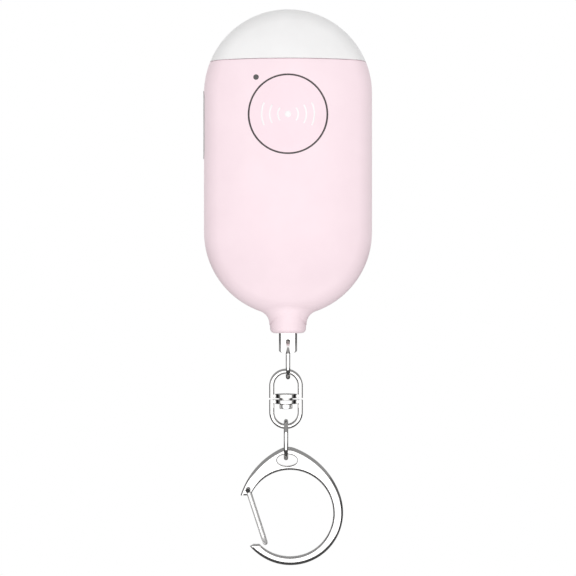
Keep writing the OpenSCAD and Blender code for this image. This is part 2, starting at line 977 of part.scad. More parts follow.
module pin_switch() {
  color(black) box(
    [fixed_x - 2.2, board_rear_y, tail_bottom_z],
    [leaf_x + leaf_t + 1.6, mid_y + leaf_w / 2 + 0.4, tail_bottom_z + switch_base_h]
  );
}

module fixed_contact() {
  color(brass) translate([fixed_x, mid_y, 0]) {
    box([-leaf_t, -leaf_w / 2, contact_z - 0.7], [0, leaf_w / 2, tail_bottom_z]);
    translate([-leaf_t / 2, 0, contact_z]) rotate([0, 90, 0]) {
      cylinder(r = contact_r, h = leaf_t / 2 + contact_rise);
    }
  }
}

module moving_contact() {
  color(brass) translate([leaf_x, mid_y, 0]) {
    box([0, -leaf_w / 2, leaf_bottom_z], [leaf_t, leaf_w / 2, leaf_pivot_z]);
    translate([leaf_t / 2, 0, leaf_pivot_z]) y_rod(leaf_pivot_r, -leaf_w / 2, leaf_w / 2);
    translate([-contact_rise, 0, contact_z]) rotate([0, 90, 0]) {
      cylinder(r = contact_r, h = contact_rise + leaf_t / 2);
    }
  }
}

// Half ring of round wire, standing up in the XZ plane
module wire_arch(bend_r, wire_r) {
  rotate([90, 0, 0]) rotate_extrude(angle = 180) translate([bend_r, 0]) circle(r = wire_r);
}

// Closed oval of wire in the YZ plane, from its top wire's centre down
module oval_link(length) {
  straight = length - 2 * link_half_w;
  rotate([0, 0, 90]) {
    translate([0, 0, -link_half_w]) wire_arch(link_half_w, link_r);
    translate([0, 0, -link_half_w - straight]) rotate([180, 0, 0]) wire_arch(link_half_w, link_r);
    for (side = [-1, 1]) {
      translate([side * link_half_w, 0, -link_half_w - straight]) cylinder(r = link_r, h = straight);
    }
  }
}

module upper_link() {
  color(steel) translate([0, mid_y, pin_eye_z]) oval_link(upper_link_l);
}

module lower_link() {
  color(steel) translate([chain_x, mid_y, lower_link_top_z]) oval_link(lower_link_l);
}

// Wire loop above a cross bar with a rivet hole, from the swivel's split up
module swivel_half(hole_r) {
  loop_h = swivel_l / 2;
  bar_bottom = bar_gap / 2;
  difference() {
    union() {
      translate([0, 0, loop_h - swivel_half_w]) wire_arch(swivel_half_w, swivel_r);
      for (side = [-1, 1]) {
        translate([side * swivel_half_w, 0, bar_bottom]) {
          cylinder(r = swivel_r, h = loop_h - swivel_half_w - bar_bottom);
        }
      }
      box([-bar_end, -bar_half_d, bar_bottom], [bar_end, bar_half_d, bar_bottom + bar_h]);
      translate([0, 0, bar_bottom]) cylinder(r = bar_disc_r, h = bar_h);
    }
    translate([0, 0, -1]) cylinder(r = hole_r, h = bar_h + 3);
  }
}

module swivel_upper() {
  color(steel) translate([chain_x, mid_y, swivel_split_z]) swivel_half(rivet_r);
}

module swivel_lower() {
  color(steel) translate([chain_x, mid_y, swivel_split_z]) {
    rotate([180, 0, 0]) swivel_half(rivet_r + rivet_gap);
  }
}

module swivel_rivet() {
  bar_top = bar_gap / 2 + bar_h;
  head_top = bar_top + rivet_gap;
  color(steel) translate([chain_x, mid_y, swivel_split_z]) {
    translate([0, 0, -head_top - 0.1]) cylinder(r = rivet_r, h = head_top + 0.1 + bar_top + rivet_rise);
    translate([0, 0, -head_top - rivet_head_h]) cylinder(r = rivet_head_r, h = rivet_head_h);
  }
}

// Points along an arc from one angle up to, but without, the other
function arc(centre, r, a0, a1, steps) = [
  for (i = [0 : steps - 1])
    let (angle = a0 + (a1 - a0) * i / steps)
      centre + r * [cos(angle), sin(angle)]
];

// Outer outline of the hook, from the right of the ring over the tip and round below
outline_points = concat(
  arc(right_centre, ogive_r, right_tangent, tip_right, ogive_steps),
  arc(tip_centre, tip_r, tip_right, tip_left, tip_steps),
  arc(left_centre, ogive_r, tip_left, 180 - left_tangent, ogive_steps),
  arc([0, 0], hook_out_r, 180 - left_tangent, 360 + right_tangent, rim_steps)
);

// Hook seen from the front, round the centre of its opening
module hook_outline() {
  nose_end = rim_shift[0] - sqrt(pow(hook_out_r, 2) - pow(nose_v - rim_shift[1], 2));
  difference() {
    translate(rim_shift) polygon(outline_points);
    circle(r = hook_in_r);
    translate([-hook_shift, eye_drop]) stadium(2 * eye_half_w, 2 * eye_half_h);
    polygon([
      [-far, horn_v],
      [-hook_in_r / 2, horn_v],
      [-hook_in_r / 2, nose_v],
      [nose_end + 2 * nose_chamfer, nose_v],
      [nose_end, nose_v - nose_chamfer],
      [-far, nose_v - nose_chamfer]
    ]);
  }
}

module hook_frame() {
  color(steel) translate([hook_x, mid_y, hook_z]) rotate([90, 0, 0]) difference() {
    linear_extrude(hook_t, center = true) hook_outline();
    translate([gate_u, gate_v, -hook_t]) cylinder(r = gate_r + gate_gap, h = 2 * hook_t);
  }
}

module hook_gate() {
  straight = gate_l - gate_r - gate_y - gate_bend;
  color(steel) translate([hook_x + gate_u, mid_y, hook_z + gate_v]) rotate([0, -gate_lean, 0]) {
    y_rod(gate_r, -gate_y + gate_bend, gate_y - gate_bend);
    for (turn = [0, 180]) {
      rotate([0, 0, turn]) {
        translate([0, gate_y - gate_bend, -gate_bend]) rotate([90, 0, 90]) {
          rotate_extrude(angle = 90) translate([gate_bend, 0]) circle(r = gate_r);
        }
        translate([0, gate_y, -gate_bend - straight]) cylinder(r = gate_r, h = straight);
      }
    }
    translate([0, 0, -gate_bend - straight]) rotate([180, 0, 90]) wire_arch(gate_y, gate_r);
  }
}

front_shell();
rear_shell();
lamp_dome();
case_screws();
alarm_button();
button_seal();
switch_plunger();
circuit_board();
button_switch();
control_chips();
boost_coil();
storage_capacitor();
usb_socket();
usb_tongue();
port_cover();
lamp_leds();
lamp_tray();
indicator_lens();
indicator_led();
battery();
battery_pad();
battery_leads();
siren_ring();
siren_plate();
siren_ceramic();
siren_leads();
pull_pin();
pin_guide();
pin_seal();
pin_switch();
fixed_contact();
moving_contact();
upper_link();
swivel_upper();
swivel_rivet();
swivel_lower();
lower_link();
hook_frame();
hook_gate();
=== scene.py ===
# Looks of a personal safety alarm on a keyring chain, in metres.
# Seen from the front, X points right, Y points back and Z points up.
import json
import math

import bpy
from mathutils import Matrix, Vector


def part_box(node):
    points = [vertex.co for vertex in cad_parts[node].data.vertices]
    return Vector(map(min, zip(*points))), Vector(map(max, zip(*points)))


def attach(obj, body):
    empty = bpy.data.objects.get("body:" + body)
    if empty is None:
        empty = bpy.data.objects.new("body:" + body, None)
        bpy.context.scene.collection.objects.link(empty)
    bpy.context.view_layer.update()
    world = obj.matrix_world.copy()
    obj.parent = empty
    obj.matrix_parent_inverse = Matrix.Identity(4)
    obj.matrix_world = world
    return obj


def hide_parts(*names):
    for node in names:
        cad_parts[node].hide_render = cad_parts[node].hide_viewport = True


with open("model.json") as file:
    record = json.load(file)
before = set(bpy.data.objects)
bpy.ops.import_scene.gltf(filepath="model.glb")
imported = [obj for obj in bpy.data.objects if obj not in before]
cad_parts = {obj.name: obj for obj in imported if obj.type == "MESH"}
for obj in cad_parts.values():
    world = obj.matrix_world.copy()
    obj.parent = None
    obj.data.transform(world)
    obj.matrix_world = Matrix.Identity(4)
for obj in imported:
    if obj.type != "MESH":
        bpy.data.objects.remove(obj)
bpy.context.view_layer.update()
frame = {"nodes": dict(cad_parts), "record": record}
nodes = frame["nodes"]
record = frame["record"]
bodies = record["behaviour"]["bodies"]
body_of = {node: body for body, members in bodies.items() for node in members}
slot_of = {row["node"]: row["material_slot"] for row in record["subparts"]}

MM = 0.001

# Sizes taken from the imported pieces
casing_low, casing_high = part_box("front_shell")
button_low, button_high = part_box("alarm_button")
hook_low, hook_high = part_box("hook_frame")
swivel_low, swivel_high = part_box("swivel_upper")
joint_x = (swivel_low[0] + swivel_high[0]) / 2
front_y = casing_low[1]
mid_y = casing_high[1]
button_z = (button_low[2] + button_high[2]) / 2
lower_half_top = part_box("swivel_lower")[1][2]
rivet_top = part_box("swivel_rivet")[1][2]
gate_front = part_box("hook_gate")[0][1]

# How near corners are merged, and how near a place counts as on a surface, an edge or a plane
merge_reach = 0.0005 * MM
casing_merge_reach = 0.03 * MM
surface_reach = 0.04 * MM
edge_reach = 0.1 * MM
plane_reach = 0.0001 * MM
least_length = 0.001 * MM

# Least share of a face's normal along an axis for the face to count as square to it
square_share = 0.9

# Largest angle, in degrees, between faces that are shaded as one
moulded_angle = 30
turned_angle = 40
emblem_angle = 50
fillet_angle = 60

# How finely round forms are divided
ring_segments = 96
wire_segments = 40
disc_sides = 128
drill_sides = 96
edge_segments = 4

# Turns that bring an upright axis to front-to-back and to left-to-right
face_front = (math.pi / 2, 0, 0)
face_side = (0, math.pi / 2, 0)

# Form of the casing: round ends, round edges, straight sides at the rear and a shallow crown in front
end_r = 19 * MM
end_z = 15.65 * MM
edge_r = 6 * MM
crown_r = 35.866 * MM
side_r = end_r - edge_r
half_depth = mid_y - front_y
rear_straight = half_depth - edge_r
crown_slope = side_r / (crown_r - half_depth)

# Collar that holds the pull pin, and the fillet round its root
collar_r = 4.2 * MM
collar_side_fillet = 2.5 * MM
collar_front_fillet = 0.9 * MM
fillet_round_steps = 120
fillet_rise_steps = 10

# Camera, set for the photograph's viewing angle
camera_place = (0, -449 * MM, -28.32 * MM)
camera_lens = 121.6
camera_sensor = 36

# Emblem in the dish of the button: a dot between two sets of arcs, each with its radius and half angle
dish_r = 7.5 * MM
dish_depth = 0.6 * MM
dish_sphere_r = (dish_r ** 2 + dish_depth ** 2) / (2 * dish_depth)
emblem_dot_r = 0.75 * MM
emblem_arcs = [(2.25 * MM, 35), (4.05 * MM, 28), (5.85 * MM, 24)]
emblem_stroke = 0.38 * MM
emblem_flatness = 0.3
emblem_arc_segments = 160
emblem_stroke_segments = 12
emblem_ball_segments = 32
emblem_ball_rings = 16

# Wire of the swivel, the bar it stands on and the disc round the rivet
swivel_wire_r = 0.575 * MM
swivel_bar = (7.015 * MM, 0.897 * MM, 0.9 * MM)
swivel_bar_edge = 0.15 * MM
swivel_disc_r = 2.45 * MM
swivel_disc_edge = 0.1 * MM
rivet_hole_r = {"swivel_upper": 1.0 * MM, "swivel_lower": 1.08 * MM}
drill_length = 6 * MM

# Washer between the swivel's halves, and the rivet through them
washer_r = 1.5 * MM
washer_h = 0.34 * MM
washer_edge = 0.05 * MM
rivet_head_r = 1.45 * MM
rivet_head_h = 1.05 * MM
rivet_head_edge = 0.15 * MM
rivet_head_gap = 0.08 * MM
rivet_shank_edge = 0.1 * MM
rivet_shank_root = 0.1 * MM

# How far the pin's flats lie from its axis, and the bushes that line its cross hole
pin_flat = 1.3 * MM
bush_out_r = 1.27 * MM
bush_in_r = 0.62 * MM
bush_t = 0.25 * MM
bush_edge = 0.04 * MM
bush_sunk = 0.01 * MM

# Hook: centre of its opening, and the holes in it, placed from there
hook_x = hook_high[0] - 11.997 * MM
hook_z = hook_low[2] + 11.72 * MM
hook_opening_r = 9.8 * MM
eye_place = (-0.64 * MM, 12 * MM)
eye_half = (2.36 * MM, 1.36 * MM)
eye_reach = 0.2 * MM
eye_sides = 72
gate_hole_place = (-9.483 * MM, 5.3 * MM)
gate_hole_r = 0.58 * MM

# How far the hook's edges are rounded
hook_top_edge = 1.0 * MM
hook_edge = 0.75 * MM
hook_inner_edge = 0.62 * MM
hook_eye_edge = 0.28 * MM
hook_end_edge = 0.4 * MM
hook_nose_edge = 0.55 * MM
gate_hole_edge = 0.05 * MM
hook_edge_steps = 6

# Where the rounding changes, measured from the gate's hole, the opening's rim or the opening's centre
gate_end_reach = 3 * MM
nose_out = 1.2 * MM
nose_up = 4.2 * MM
tip_across = -8 * MM
tip_up = (-8 * MM, -6 * MM)
inner_edge_up = -5 * MM
top_edge_up = 2 * MM

# How often the change is evened out along an edge, and what keeps a sharp corner's inset short
hook_blend_passes = 4
sharpest_corner = 0.4

# Head of the pin that the gate turns on
pivot_head_r = 0.5 * MM
pivot_head_h = 0.2 * MM
pivot_head_edge = 0.08 * MM

# Marks in moulded plastic, rubber and foam
plastic_cloud = 7 * MM
plastic_grain = 0.25 * MM
plastic_grain_depth = 0.01 * MM
plastic_grain_detail = 4
plastic_grain_strength = 0.3
plastic_roughness_spread = 0.05
foam_grain = 0.4 * MM
foam_depth = 0.1 * MM

# Marks in metal
metal_cloud = 3 * MM
metal_rubbing = 0.5 * MM
metal_rubbing_depth = 0.002 * MM
metal_rubbing_detail = 5
metal_rubbing_strength = 0.15
metal_roughness_spread = 0.3

# Distances to the side of the rivet's axis between which painted shade comes onto the swivel's discs, near
# their wires
shade_from = 1.6 * MM
shade_to = 1.8 * MM

# Part of the noise's range that a colour or a roughness is spread over
tint_span = (0.35, 0.65)
roughness_span = (0.3, 0.7)

# Floor and light
white = (1, 1, 1, 1)
floor_z = -1250 * MM
floor_size = 8
floor_colour = (0.95, 0.95, 0.95, 1)
floor_glow = 1.12
floor_glow_share = 0.8
world_light = 0.512
lamp_place = (0, -1.2, -0.03)
lamp_size = 2.4
lamp_radiance = 0.884

# Upright cards on both sides: name, lowest and highest edge, front edge and brightness
card_x = 60 * MM
card_far_y = 300 * MM
upright_cards = (
    ("hook", -160 * MM, -69 * MM, -55 * MM, 0.06),
    ("chain", -69 * MM, -43.5 * MM, -35 * MM, 0.12),
    ("pin", -43.5 * MM, -30 * MM, -20 * MM, 0.06),
)

# Level cards: name, front and rear edge, height, half width and brightness
wide_card_x = 250 * MM
level_cards = (
    ("brow_card", -90 * MM, -18.5 * MM, -30 * MM, wide_card_x, 0.3),
    ("overhead_card", -18.5 * MM, card_far_y, -43.5 * MM, wide_card_x, 0.3),
    ("low_card", -80 * MM, card_far_y, -115 * MM, card_x, 0.06),
)


# Helpers for picking and finishing a piece
def pick(piece):
    bpy.ops.object.select_all(action="DESELECT")
    piece.select_set(True)
    bpy.context.view_layer.objects.active = piece


def edit(piece):
    pick(piece)
    bpy.ops.object.mode_set(mode="EDIT")


def done():
    bpy.ops.object.mode_set(mode="OBJECT")


def settle(piece, name):
    """Puts a new piece's place into its mesh and names it."""
    pick(piece)
    bpy.ops.object.transform_apply(location=True, rotation=True, scale=True)
    piece.name = name
    piece.data.name = name


def smooth(piece, degrees):
    pick(piece)
    bpy.ops.object.shade_smooth_by_angle(angle=math.radians(degrees))


def dress(piece, material):
    piece.data.materials.clear()
    piece.data.materials.append(material)


def weigh(piece):
    """Leans the shading towards the larger faces, so that flat faces stay flat."""
    weighted = piece.modifiers.new("weighted", "WEIGHTED_NORMAL")
    weighted.keep_sharp = True
    pick(piece)
    bpy.ops.object.modifier_apply(modifier="weighted")


def select_faces(piece, wanted):
    """Goes into edit mode with those faces picked whose centre and normal pass the test."""
    edit(piece)
    bpy.ops.mesh.select_mode(type="FACE")
    bpy.ops.mesh.select_all(action="DESELECT")
    done()
    for face in piece.data.polygons:
        face.select = wanted(face.center, face.normal)
    bpy.ops.object.mode_set(mode="EDIT")


def join(pieces):
    pick(pieces[0])
    for piece in pieces:
        piece.select_set(True)
    bpy.ops.object.join()
    return bpy.context.object


def joined_copy(node, reach):
    """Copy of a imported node's mesh with its loose faces joined up."""
    skin = bpy.data.objects.new(node + "_skin", nodes[node].data.copy())
    bpy.context.scene.collection.objects.link(skin)
    edit(skin)
    bpy.ops.mesh.select_all(action="SELECT")
    bpy.ops.mesh.remove_doubles(threshold=reach)
    done()
    skin.data.materials.clear()
    return skin


def stand_for(piece, node):
    """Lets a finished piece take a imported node's place."""
    if not piece.data.materials:
        dress(piece, finish_of_node.get(node, finish_of_slot[slot_of[node]]))
    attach(piece, body_of[node])
    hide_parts(node)


def shade_flush(piece, degrees):
    """Shades each corner by those faces round it that lie nearly flush with its own."""
    mesh = piece.data
    limit = math.cos(math.radians(degrees))
    faces_round = [[] for _ in mesh.vertices]
    for face in mesh.polygons:
        for index in face.vertices:
            faces_round[index].append(face)
    shading = [None] * len(mesh.loops)
    for face in mesh.polygons:
        for corner in face.loop_indices:
            total = Vector()
            for other in faces_round[mesh.loops[corner].vertex_index]:
                if other.normal.dot(face.normal) > limit:
                    total += other.normal * other.area
            shading[corner] = total.normalized()
    mesh.normals_split_custom_set(shading)


def skin_of(node):
    """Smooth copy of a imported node."""
    skin = joined_copy(node, merge_reach)
    smooth(skin, moulded_angle)
    shade_flush(skin, moulded_angle)
    stand_for(skin, node)


def casing_normal(place):
    """Outward direction of the casing's outer form at a place on it, or None elsewhere."""
    end = max(-end_z, min(end_z, place.z))
    reach = math.hypot(place.x, place.z - end)
    ahead = mid_y - place.y
    if ahead > 0 and reach - side_r < ahead * crown_slope:
        core = (0, half_depth - crown_r)
        radius = crown_r
    else:
        core = (min(reach, side_r), min(max(ahead, -rear_straight), 0))
        radius = edge_r
    across = reach - core[0]
    forward = ahead - core[1]
    if abs(math.hypot(across, forward) - radius) > surface_reach:
        return None
    spread = across / max(reach, least_length)
    return Vector((spread * place.x, -forward, spread * (place.z - end))).normalized()


def casing_skin(node):
    """Smooth copy of a casing piece whose outside is shaded by the casing's true form."""
    skin = joined_copy(node, casing_merge_reach)
    smooth(skin, moulded_angle)
    weigh(skin)
    mesh = skin.data
    true = [casing_normal(corner.co) for corner in mesh.vertices]
    shading = [corner.vector.copy() for corner in mesh.corner_normals]
    for face in mesh.polygons:
        if all(true[index] for index in face.vertices):
            for corner in face.loop_indices:
                shading[corner] = true[mesh.loops[corner].vertex_index]
    mesh.normals_split_custom_set(shading)
    stand_for(skin, node)


# Helpers for materials
def blank(name):
    material = bpy.data.materials.new(name)
    material.use_nodes = True
    tree = material.node_tree
    return material, tree, tree.nodes["Principled BSDF"]


def noise(tree, size, detail=3, stretch=(1, 1, 1)):
    """Noise on object coordinates, with features of about this size."""
    place = tree.nodes.new("ShaderNodeTexCoord")
    mapping = tree.nodes.new("ShaderNodeMapping")
    mapping.inputs["Scale"].default_value = stretch
    cloud = tree.nodes.new("ShaderNodeTexNoise")
    cloud.inputs["Scale"].default_value = 1 / size
    cloud.inputs["Detail"].default_value = detail
    tree.links.new(place.outputs["Object"], mapping.inputs["Vector"])
    tree.links.new(mapping.outputs["Vector"], cloud.inputs["Vector"])
    return cloud.outputs["Fac"]


def tint(tree, factor, dark, light):
    """Colour that goes from dark to light over the middle of the noise's range."""
    ramp = tree.nodes.new("ShaderNodeValToRGB")
    for element, position, colour in zip(ramp.color_ramp.elements, tint_span, (dark, light)):
        element.position = position
        element.color = (*colour, 1)
    tree.links.new(factor, ramp.inputs["Fac"])
    return ramp.outputs["Color"]


def between(tree, factor, low, high):
    """Number that goes from low to high over the middle of the noise's range."""
    scale = tree.nodes.new("ShaderNodeMapRange")
    scale.inputs["From Min"].default_value = roughness_span[0]
    scale.inputs["From Max"].default_value = roughness_span[1]
    scale.inputs["To Min"].default_value = low
    scale.inputs["To Max"].default_value = high
    tree.links.new(factor, scale.inputs["Value"])
    return scale.outputs["Result"]


def relief(tree, factor, depth, strength):
    bump = tree.nodes.new("ShaderNodeBump")
    bump.inputs["Strength"].default_value = strength
    bump.inputs["Distance"].default_value = depth
    tree.links.new(factor, bump.inputs["Height"])
    return bump.outputs["Normal"]


def moulded(name, dark, light, roughness, grain=plastic_grain, depth=plastic_grain_depth):
    """Moulded plastic or rubber with a fine eroded grain."""
    material, tree, shader = blank(name)
    fine = noise(tree, grain, plastic_grain_detail)
    smoothest = roughness - plastic_roughness_spread
    roughest = roughness + plastic_roughness_spread
    tree.links.new(tint(tree, noise(tree, plastic_cloud), dark, light), shader.inputs["Base Color"])
    tree.links.new(between(tree, fine, smoothest, roughest), shader.inputs["Roughness"])
    tree.links.new(relief(tree, fine, depth, plastic_grain_strength), shader.inputs["Normal"])
    return material, shader


def rub(tree, shader, roughness, stretch=(1, 1, 1)):
    """Gives metal the uneven gloss of fine rubbing marks."""
    rubbing = noise(tree, metal_rubbing, metal_rubbing_detail, stretch)
    smoothest = roughness * (1 - metal_roughness_spread)
    roughest = roughness * (1 + metal_roughness_spread)
    tree.links.new(between(tree, rubbing, smoothest, roughest), shader.inputs["Roughness"])
    return rubbing


def plated(name, dark, light, roughness, stretch=(1, 1, 1), metallic=1):
    """Metal with faint clouding and fine rubbing marks."""
    material, tree, shader = blank(name)
    rubbing = rub(tree, shader, roughness, stretch)
    marks = relief(tree, rubbing, metal_rubbing_depth, metal_rubbing_strength)
    tree.links.new(tint(tree, noise(tree, metal_cloud), dark, light), shader.inputs["Base Color"])
    tree.links.new(marks, shader.inputs["Normal"])
    shader.inputs["Metallic"].default_value = metallic
    return material


def painted_shade_joint(name, dark, light, roughness):
    """Metal darkened with painted shade where two turning discs run close to their wires."""
    material, tree, shader = blank(name)
    place = tree.nodes.new("ShaderNodeTexCoord")
    split = tree.nodes.new("ShaderNodeSeparateXYZ")
    shift = tree.nodes.new("ShaderNodeMath")
    shift.operation = "SUBTRACT"
    shift.inputs[1].default_value = joint_x
    away = tree.nodes.new("ShaderNodeMath")
    away.operation = "ABSOLUTE"
    scale = tree.nodes.new("ShaderNodeMapRange")
    scale.inputs["From Min"].default_value = shade_from
    scale.inputs["From Max"].default_value = shade_to
    mix = tree.nodes.new("ShaderNodeMix")
    mix.data_type = "RGBA"
    mix.inputs["A"].default_value = (*light, 1)
    mix.inputs["B"].default_value = (*dark, 1)
    tree.links.new(place.outputs["Object"], split.inputs["Vector"])
    tree.links.new(split.outputs["X"], shift.inputs[0])
    tree.links.new(shift.outputs[0], away.inputs[0])
    tree.links.new(away.outputs[0], scale.inputs["Value"])
    tree.links.new(scale.outputs["Result"], mix.inputs["Factor"])
    tree.links.new(mix.outputs["Result"], shader.inputs["Base Color"])
    rub(tree, shader, roughness)
    shader.inputs["Metallic"].default_value = 1
    return material


# Materials of plastic, rubber, foam and ink
pink_shell, _ = moulded("pink_shell_plastic", (0.955, 0.777, 0.832), (0.975, 0.797, 0.852), 0.42)
# The button is a shade deeper than the shell, as its own moulding and as painted shade for its dish
pink_cap, _ = moulded("pink_cap_plastic", (0.945, 0.757, 0.817), (0.965, 0.777, 0.837), 0.4)
milky_dome, dome_shader = moulded("milky_dome_plastic", (0.882, 0.876, 0.876), (0.912, 0.906, 0.906), 0.34)
dome_shader.inputs["Subsurface Weight"].default_value = 0.1
dome_shader.inputs["Subsurface Radius"].default_value = (1.0, 0.95, 0.95)
dome_shader.inputs["Subsurface Scale"].default_value = 0.4 * MM
# Dark rubber seal in the button's gap, whose near-black colour also stands for the gap's shade: partly
# painted shade
seal_rubber_and_gap_shade, _ = moulded("seal_rubber_and_gap_shade", (0.075, 0.075, 0.073), (0.1, 0.1, 0.097), 0.6)
cover_rubber, _ = moulded("cover_rubber", (0.54, 0.53, 0.53), (0.59, 0.58, 0.58), 0.6)
black_moulding, _ = moulded("black_moulding", (0.008, 0.008, 0.009), (0.014, 0.014, 0.015), 0.5)
white_moulding, _ = moulded("white_moulding", (0.82, 0.82, 0.79), (0.87, 0.87, 0.84), 0.45)
smoked_pipe, _ = moulded("smoked_light_pipe", (0.06, 0.06, 0.058), (0.08, 0.08, 0.078), 0.4)
green_laminate, _ = moulded("green_laminate", (0.01, 0.06, 0.025), (0.014, 0.08, 0.035), 0.35)
grey_foam, _ = moulded("grey_foam", (0.06, 0.06, 0.065), (0.1, 0.1, 0.105), 0.9, foam_grain, foam_depth)
emblem_ink, _ = moulded("emblem_ink", (0.94, 0.92, 0.925), (0.97, 0.955, 0.96), 0.45)

# Materials of metal
screw_steel = plated("screw_steel", (0.5, 0.5, 0.51), (0.58, 0.58, 0.59), 0.3)
tinned_steel = plated("tinned_steel", (0.62, 0.62, 0.63), (0.7, 0.7, 0.71), 0.28)
copper_wire = plated("copper_wire", (0.6, 0.24, 0.12), (0.7, 0.3, 0.16), 0.3)
can_aluminium = plated("can_aluminium", (0.72, 0.72, 0.73), (0.8, 0.8, 0.81), 0.35, stretch=(1, 1, 6))
contact_brass = plated("contact_brass", (0.68, 0.48, 0.18), (0.78, 0.57, 0.24), 0.25)
pin_steel = plated("pin_steel", (0.86, 0.85, 0.84), (0.92, 0.91, 0.9), 0.12, stretch=(1, 1, 5))
chain_steel = plated("chain_steel", (0.86, 0.85, 0.84), (0.92, 0.91, 0.9), 0.1)
hook_metal = plated("hook_metal", (0.85, 0.84, 0.835), (0.9, 0.89, 0.885), 0.13, stretch=(1, 1, 3))
gate_steel = plated("gate_steel", (0.86, 0.85, 0.84), (0.92, 0.91, 0.9), 0.35, metallic=0.55)
# Near-black steel that stands for the shade in the gate's pivot: painted shade
painted_shade_steel = plated("painted_shade_steel", (0.03, 0.03, 0.03), (0.05, 0.05, 0.05), 0.4)
# Steel of the swivel's discs, with painted shade on their outer sides where they run close to the wires
joint_steel_painted_shade = painted_shade_joint("joint_steel_painted_shade", (0.06, 0.06, 0.06), (0.89, 0.88, 0.87), 0.12)

# Material of each slot of the record, and of the one node that differs from its slot
finish_of_slot = {
    "pink_plastic": pink_shell,
    "pink_button": pink_cap,
    "milky_plastic": milky_dome,
    "screw_steel": screw_steel,
    "dark_silicone": seal_rubber_and_gap_shade,
    "pale_silicone": cover_rubber,
    "black_plastic": black_moulding,
    "white_plastic": white_moulding,
    "smoked_plastic": smoked_pipe,
    "board_laminate": green_laminate,
    "tinned_steel": tinned_steel,
    "copper_wire": copper_wire,
    "can_aluminium": can_aluminium,
    "foam_pad": grey_foam,
    "contact_brass": contact_brass,
    "pin_steel": pin_steel,
    "chain_steel": chain_steel,
    "hook_metal": hook_metal,
}
finish_of_node = {"hook_gate": gate_steel}
for node, packed in nodes.items():
    dress(packed, finish_of_slot[slot_of[node]])

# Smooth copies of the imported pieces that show
for node in ("front_shell", "rear_shell", "lamp_dome", "alarm_button"):
    casing_skin(node)
for node in (
    "button_seal", "indicator_lens", "port_cover", "case_screws", "usb_socket", "pull_pin", "hook_gate",
):
    skin_of(node)


# Fillet between the casing's lower end and the collar
def casing_bottom(x, ahead):
    """Height of the casing's lower surface at a place ahead of or behind its middle depth."""
    past = ahead if ahead >= 0 else max(-ahead - rear_straight, 0)
    reach = side_r + math.sqrt(max(edge_r ** 2 - past ** 2, 0))
    return -end_z - math.sqrt(max(reach ** 2 - x ** 2, 0))


def curve(part, start, bend, end):
    """Place on a curve that leaves its start towards the bend and reaches its end from there."""
    return (1 - part) ** 2 * start + 2 * part * (1 - part) * bend + part ** 2 * end


def make_collar_fillet():
    bpy.ops.object.select_all(action="DESELECT")
    bpy.ops.mesh.primitive_grid_add(
        x_subdivisions=fillet_round_steps, y_subdivisions=fillet_rise_steps, size=1,
    )
    fillet = bpy.context.object
    for corner in fillet.data.vertices:
        turn = 2 * math.pi * (corner.co.x + 0.5)
        part = corner.co.y + 0.5
        across = abs(math.cos(turn))
        size = collar_front_fillet + (collar_side_fillet - collar_front_fillet) * across ** 2
        root = casing_bottom(collar_r * math.cos(turn), -collar_r * math.sin(turn))
        out_r = collar_r + size
        top = casing_bottom(out_r * math.cos(turn), -out_r * math.sin(turn))
        r = curve(part, collar_r, collar_r, out_r)
        z = curve(part, root - size, root, top)
        corner.co = (r * math.cos(turn), mid_y + r * math.sin(turn), z)
    edit(fillet)
    bpy.ops.mesh.select_all(action="SELECT")
    bpy.ops.mesh.remove_doubles(threshold=least_length)
    bpy.ops.mesh.normals_make_consistent(inside=False)
    done()
    settle(fillet, "collar_fillet")
    smooth(fillet, fillet_angle)
    dress(fillet, pink_shell)
    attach(fillet, "casing")


make_collar_fillet()


# Chain
def wire_ring(name, middle, bend_r, wire_r, aim):
    """Closed ring of round wire."""
    bpy.ops.object.select_all(action="DESELECT")
    bpy.ops.mesh.primitive_torus_add(
        major_segments=ring_segments, minor_segments=wire_segments, major_radius=bend_r,
        minor_radius=wire_r, location=middle, rotation=aim,
    )
    ring = bpy.context.object
    settle(ring, name)
    return ring


def make_link(node):
    """Oval of round wire: a ring whose lower half is drawn down by the straight length."""
    low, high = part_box(node)
    wire_r = (high[0] - low[0]) / 2
    bend_r = (high[1] - low[1]) / 2 - wire_r
    straight = high[2] - low[2] - 2 * (bend_r + wire_r)
    middle = ((low[0] + high[0]) / 2, (low[1] + high[1]) / 2, high[2] - bend_r - wire_r)
    link = wire_ring(node + "_wire", middle, bend_r, wire_r, face_side)
    select_faces(link, lambda centre, normal: centre.z < middle[2])
    bpy.ops.mesh.extrude_region_move(TRANSFORM_OT_translate={"value": (0, 0, -straight)})
    bpy.ops.mesh.select_all(action="SELECT")
    bpy.ops.mesh.normals_make_consistent(inside=False)
    done()
    smooth(link, turned_angle)
    stand_for(link, node)


def swivel_loop(middle, bend_r, foot_z, up):
    """Half ring of wire with straight legs to the bar."""
    loop = wire_ring("swivel_loop", middle, bend_r, swivel_wire_r, face_front)
    select_faces(loop, lambda centre, normal: (centre.z - middle[2]) * up < 0)
    bpy.ops.mesh.delete(type="FACE")
    bpy.ops.mesh.select_mode(type="EDGE")
    bpy.ops.mesh.select_all(action="DESELECT")
    bpy.ops.mesh.select_non_manifold()
    bpy.ops.mesh.extrude_region_move(TRANSFORM_OT_translate={"value": (0, 0, foot_z - middle[2])})
    bpy.ops.mesh.select_all(action="SELECT")
    bpy.ops.mesh.fill_holes(sides=0)
    bpy.ops.mesh.normals_make_consistent(inside=False)
    done()
    dress(loop, chain_steel)
    return loop


def turned_disc(name, centre, radius, height, edge, aim=(0, 0, 0)):
    """Flat round piece with rounded rims."""
    bpy.ops.object.select_all(action="DESELECT")
    bpy.ops.mesh.primitive_cylinder_add(vertices=disc_sides, radius=radius, depth=height)
    disc = bpy.context.object
    select_faces(disc, lambda place, normal: abs(normal.z) > square_share)
    bpy.ops.mesh.bevel(offset=edge, segments=edge_segments, affect="EDGES")
    done()
    disc.rotation_euler = aim
    disc.location = centre
    settle(disc, name)
    return disc


